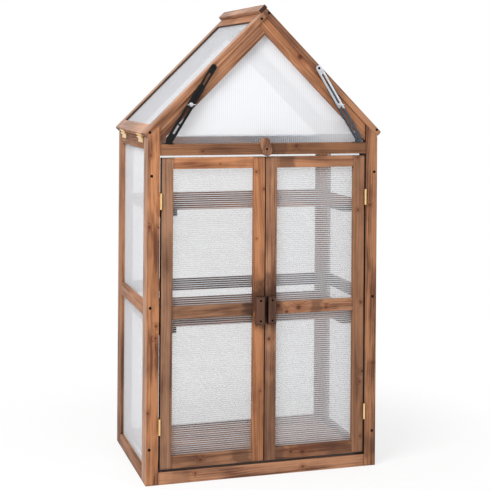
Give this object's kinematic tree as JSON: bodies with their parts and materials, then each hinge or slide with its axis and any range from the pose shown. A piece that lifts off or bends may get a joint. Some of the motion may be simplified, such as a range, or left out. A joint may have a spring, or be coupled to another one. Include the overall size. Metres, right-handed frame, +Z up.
{
  "type": "mini greenhouse",
  "caption": "Upright wooden mini greenhouse with glazed double doors, slatted shelves and a pitched roof whose hinged panels open on slotted stays.",
  "frame": {"origin": "on the ground under the middle of the outer box", "axes": "+Z up, +X to the right seen from the front, -Y towards the front with the doors"},
  "size_m": [0.722, 0.46, 1.3704],
  "materials": {
    "post_wood": "stained softwood, matt",
    "rail_wood": "stained softwood, matt",
    "shelf_wood": "stained softwood, matt",
    "dark_wood": "darker stained softwood, matt",
    "glazing": "translucent twin-wall sheet",
    "brass": "bright plated",
    "black_steel": "satin black",
    "zinc_steel": "zinc plated"
  },
  "bodies": {
    "house": {"post_front_left": "post_wood", "post_back_left": "post_wood", "post_front_right": "post_wood", "post_back_right": "post_wood", "front_rail_top": "rail_wood", "front_rail_bottom": "rail_wood", "back_rail_top": "rail_wood", "back_rail_bottom": "rail_wood", "back_rail_middle": "rail_wood", "side_rail_top_left": "rail_wood", "side_rail_middle_left": "rail_wood", "side_rail_bottom_left": "rail_wood", "side_rail_top_right": "rail_wood", "side_rail_middle_right": "rail_wood", "side_rail_bottom_right": "rail_wood", "side_sheet_left": "glazing", "side_sheet_right": "glazing", "back_sheet": "glazing", "gable_frame_front": "rail_wood", "gable_sheet_front": "glazing", "gable_frame_back": "rail_wood", "gable_sheet_back": "glazing", "roof_hinge_left_front": "brass", "roof_hinge_left_back": "brass", "roof_hinge_right_front": "brass", "roof_hinge_right_back": "brass", "door_hinge_left_lower_fixed": "brass", "door_hinge_left_upper_fixed": "brass", "door_hinge_right_lower_fixed": "brass", "door_hinge_right_upper_fixed": "brass", "stay_foot_left": "zinc_steel", "stay_foot_right": "zinc_steel", "shelf_bottom": "shelf_wood", "shelf_middle": "shelf_wood", "shelf_top": "shelf_wood", "cleat_middle_left": "shelf_wood", "cleat_middle_right": "shelf_wood", "cleat_top_left": "shelf_wood", "cleat_top_right": "shelf_wood"},
    "door_left": {"door_left_frame": "rail_wood", "door_left_sheet": "glazing", "door_left_handle": "dark_wood", "door_hinge_left_lower_moving": "brass", "door_hinge_left_upper_moving": "brass"},
    "door_right": {"door_right_frame": "rail_wood", "door_right_sheet": "glazing", "door_right_handle": "dark_wood", "door_hinge_right_lower_moving": "brass", "door_hinge_right_upper_moving": "brass"},
    "roof_left": {"roof_left_frame": "rail_wood", "roof_left_sheet": "glazing", "ridge_cap": "post_wood"},
    "roof_right": {"roof_right_frame": "rail_wood", "roof_right_sheet": "glazing"},
    "turn_button": {"turn_button": "dark_wood"},
    "stay_left_lower": {"stay_left_lower_arm": "black_steel"},
    "stay_left_upper": {"stay_left_upper_arm": "black_steel"},
    "stay_right_lower": {"stay_right_lower_arm": "zinc_steel"},
    "stay_right_upper": {"stay_right_upper_arm": "zinc_steel"}
  },
  "joints": [
    {"name": "door_left_hinge", "type": "hinge", "parent": "house", "child": "door_left", "pos_m": [-0.3115, -0.2135, 0.484], "axis": [0, 0, -1], "range_deg": [0, 170]},
    {"name": "door_right_hinge", "type": "hinge", "parent": "house", "child": "door_right", "pos_m": [0.3115, -0.2135, 0.484], "axis": [0, 0, 1], "range_deg": [0, 170]},
    {"name": "roof_left_hinge", "type": "hinge", "parent": "house", "child": "roof_left", "pos_m": [-0.3535, 0.01, 0.98255], "axis": [0, -1, 0], "range_deg": [0, 55]},
    {"name": "roof_right_hinge", "type": "hinge", "parent": "house", "child": "roof_right", "pos_m": [0.3535, 0.01, 0.98255], "axis": [0, 1, 0], "range_deg": [0, 55]},
    {"name": "latch_turn", "type": "hinge", "parent": "house", "child": "turn_button", "pos_m": [0, -0.2163, 0.94975], "axis": [0, -1, 0], "continuous": true},
    {"name": "stay_left_swing", "type": "hinge", "parent": "house", "child": "stay_left_lower", "pos_m": [-0.288, -0.2137, 0.978], "axis": [0, -1, 0], "range_deg": [0, 56]},
    {"name": "stay_left_slide", "type": "slide", "parent": "stay_left_lower", "child": "stay_left_upper", "axis": [0.5222, 0, 0.8528], "range_m": [0, 0.062]},
    {"name": "stay_right_swing", "type": "hinge", "parent": "house", "child": "stay_right_lower", "pos_m": [0.288, -0.2137, 0.978], "axis": [0, 1, 0], "range_deg": [0, 56]},
    {"name": "stay_right_slide", "type": "slide", "parent": "stay_right_lower", "child": "stay_right_upper", "axis": [-0.5222, 0, 0.8528], "range_m": [0, 0.062]}
  ],
  "couplings": [
    {"joint": "stay_left_swing", "follows": "roof_left_hinge", "ratio": 1},
    {"joint": "stay_left_slide", "follows": "roof_left_hinge", "m_per_rad": 0.0632},
    {"joint": "stay_right_swing", "follows": "roof_right_hinge", "ratio": 1},
    {"joint": "stay_right_slide", "follows": "roof_right_hinge", "m_per_rad": 0.0632}
  ]
}
